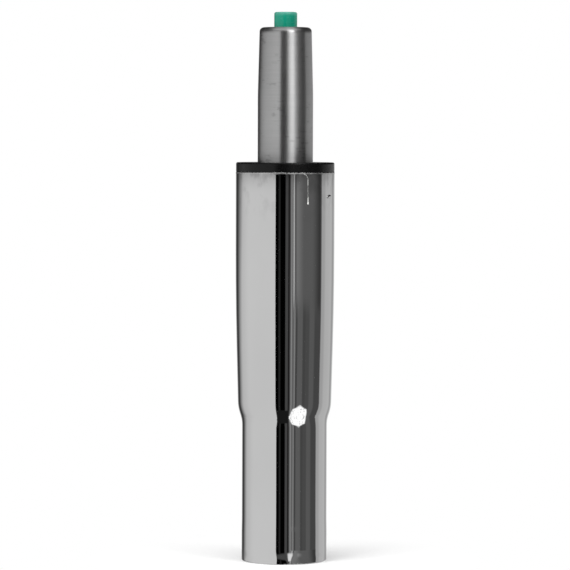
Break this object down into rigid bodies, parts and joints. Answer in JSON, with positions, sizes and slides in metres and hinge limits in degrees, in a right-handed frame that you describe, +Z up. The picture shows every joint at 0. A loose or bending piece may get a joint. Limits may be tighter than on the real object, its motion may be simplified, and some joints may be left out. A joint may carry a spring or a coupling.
{
  "type": "gas lift cylinder",
  "caption": "Upright gas lift column for a swivel chair: tapered chromed base tube, black guide ring, sliding steel pressure tube and a green release button.",
  "frame": {"origin": "centre of the column tube's lower rim, on the plane that the column stands on", "axes": "+Z up along the common axis of all the tubes, towards the release button; +X is where the open side of the retaining clip points"},
  "size_m": [0.05, 0.05, 0.2777],
  "materials": {
    "chromed_tube": "bright mirror chrome plate on steel tube",
    "black_acetal": "moulded satin black acetal",
    "zinc_plated_steel": "dull zinc plated pressed steel",
    "bearing_steel": "hardened and ground",
    "cage_nylon": "natural nylon",
    "hard_chromed_rod": "hard chromed and ground rod",
    "spring_steel": "phosphated spring steel",
    "buffer_rubber": "matt black moulded rubber",
    "ground_steel_tube": "centreless ground, satin",
    "seal_rubber": "smooth black nitrile rubber",
    "die_cast_zinc": "as cast, dull grey",
    "drawn_steel_liner": "drawn, lightly oiled",
    "turned_aluminium": "turned",
    "turned_brass": "turned",
    "stainless_pin": "ground stainless steel",
    "bush_nylon": "moulded dark grey nylon",
    "green_plastic": "moulded teal green plastic, soft gloss"
  },
  "bodies": {
    "column": {"column_tube": "chromed_tube", "guide_sleeve": "black_acetal", "base_plate": "zinc_plated_steel", "lower_race": "bearing_steel"},
    "bearing": {"ball_cage": "cage_nylon", "bearing_balls": "bearing_steel"},
    "rod": {"piston_rod": "hard_chromed_rod", "upper_race": "bearing_steel", "rod_washer": "zinc_plated_steel", "rod_clip": "spring_steel", "bump_stop": "buffer_rubber", "piston": "die_cast_zinc", "piston_seal": "seal_rubber", "piston_washers": "zinc_plated_steel"},
    "cylinder": {"pressure_tube": "ground_steel_tube", "backing_ring": "zinc_plated_steel", "rod_seal": "seal_rubber", "rod_guide": "die_cast_zinc", "cylinder_liner": "drawn_steel_liner", "valve_body": "turned_aluminium", "valve_body_seals": "seal_rubber", "valve_bush": "turned_brass", "valve_spacer": "turned_brass", "pin_seals": "seal_rubber", "button_bush": "bush_nylon"},
    "release": {"valve_pin": "stainless_pin", "release_button": "green_plastic"}
  },
  "joints": [
    {"name": "swivel", "type": "hinge", "parent": "column", "child": "rod", "pos_m": [0, 0, 0], "axis": [0, 0, 1], "continuous": true},
    {"name": "cage_turn", "type": "hinge", "parent": "column", "child": "bearing", "pos_m": [0, 0, 0], "axis": [0, 0, 1], "continuous": true},
    {"name": "lift", "type": "slide", "parent": "rod", "child": "cylinder", "axis": [0, 0, 1], "range_m": [0, 0.12]},
    {"name": "release_press", "type": "slide", "parent": "cylinder", "child": "release", "axis": [0, 0, -1], "range_m": [0, 0.005], "stiffness_N_per_m": 2000, "springref_m": -0.015}
  ],
  "couplings": [
    {"joint": "cage_turn", "follows": "swivel", "ratio": 0.5}
  ]
}
